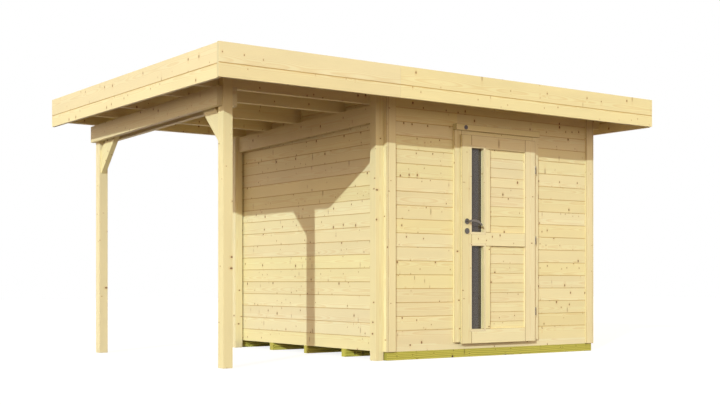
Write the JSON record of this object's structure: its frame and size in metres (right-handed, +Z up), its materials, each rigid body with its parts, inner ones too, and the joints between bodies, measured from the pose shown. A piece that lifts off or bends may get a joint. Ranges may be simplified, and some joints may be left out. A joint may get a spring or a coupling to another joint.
{
  "type": "garden house with a canopy",
  "caption": "Flat-roofed wooden garden house with one room, a boarded door with glazed strips and an open side canopy on posts with braces.",
  "frame": {"origin": "middle of the roof's plan, at ground level", "axes": "+X along the front to the right, +Y from the front to the back, +Z up"},
  "size_m": [4.476, 3.158, 2.306],
  "materials": {
    "treated_timber": "pressure-treated",
    "floor_boards": "planed, untreated",
    "wall_boards": "planed, untreated",
    "structural_timber": "planed, untreated",
    "trim_boards": "planed, untreated",
    "roof_boards": "planed, untreated",
    "roof_membrane": "matt sheet",
    "door_timber": "planed, untreated",
    "tinted_glass": "grey tint",
    "grey_steel": "satin",
    "disc": "plain"
  },
  "bodies": {
    "house": {"foundation_beam_1": "treated_timber", "foundation_beam_2": "treated_timber", "foundation_beam_3": "treated_timber", "foundation_beam_4": "treated_timber", "foundation_beam_5": "treated_timber", "floor_deck": "floor_boards", "sill_board": "wall_boards", "front_wall_left": "wall_boards", "front_wall_right": "wall_boards", "front_wall_over_door": "wall_boards", "left_wall": "wall_boards", "right_wall": "wall_boards", "back_wall": "wall_boards", "rafter_1": "structural_timber", "rafter_2": "structural_timber", "rafter_3": "structural_timber", "rafter_4": "structural_timber", "rafter_5": "structural_timber", "front_edge_rafter": "structural_timber", "wall_post_front": "structural_timber", "wall_post_back": "structural_timber", "canopy_post_front": "structural_timber", "canopy_post_back": "structural_timber", "canopy_beam_outer": "structural_timber", "canopy_beam_inner": "structural_timber", "wall_beam": "structural_timber", "brace_front": "structural_timber", "brace_back": "structural_timber", "corner_trim_front_left": "trim_boards", "corner_trim_front_right": "trim_boards", "corner_trim_back_left": "trim_boards", "corner_trim_back_right": "trim_boards", "door_jamb_left": "trim_boards", "door_jamb_right": "trim_boards", "door_head": "trim_boards", "door_threshold": "trim_boards", "door_drip_board": "trim_boards", "rear_eaves_board": "trim_boards", "front_fascia_upper": "trim_boards", "front_fascia_lower": "trim_boards", "left_fascia_upper": "trim_boards", "left_fascia_lower": "trim_boards", "right_fascia_upper": "trim_boards", "right_fascia_lower": "trim_boards", "roof_boards": "roof_boards", "roof_membrane": "roof_membrane", "door_hinges_frame": "grey_steel", "badge_disc": "disc"},
    "door": {"door_leaf_frame": "door_timber", "door_glass": "tinted_glass", "door_panels": "door_timber", "door_hinges_leaf": "grey_steel", "door_rosettes": "grey_steel"},
    "handle": {"door_handle": "grey_steel"}
  },
  "joints": [
    {"name": "door_swing", "type": "hinge", "parent": "house", "child": "door", "pos_m": [1.218, -1.116, 1.009], "axis": [0, 0, 1], "range_deg": [0, 110]},
    {"name": "handle_turn", "type": "hinge", "parent": "door", "child": "handle", "pos_m": [0.405, -1.122, 1.161], "axis": [0, 1, 0], "range_deg": [0, 40], "stiffness_Nm_per_rad": 2, "springref_deg": -20.05}
  ]
}
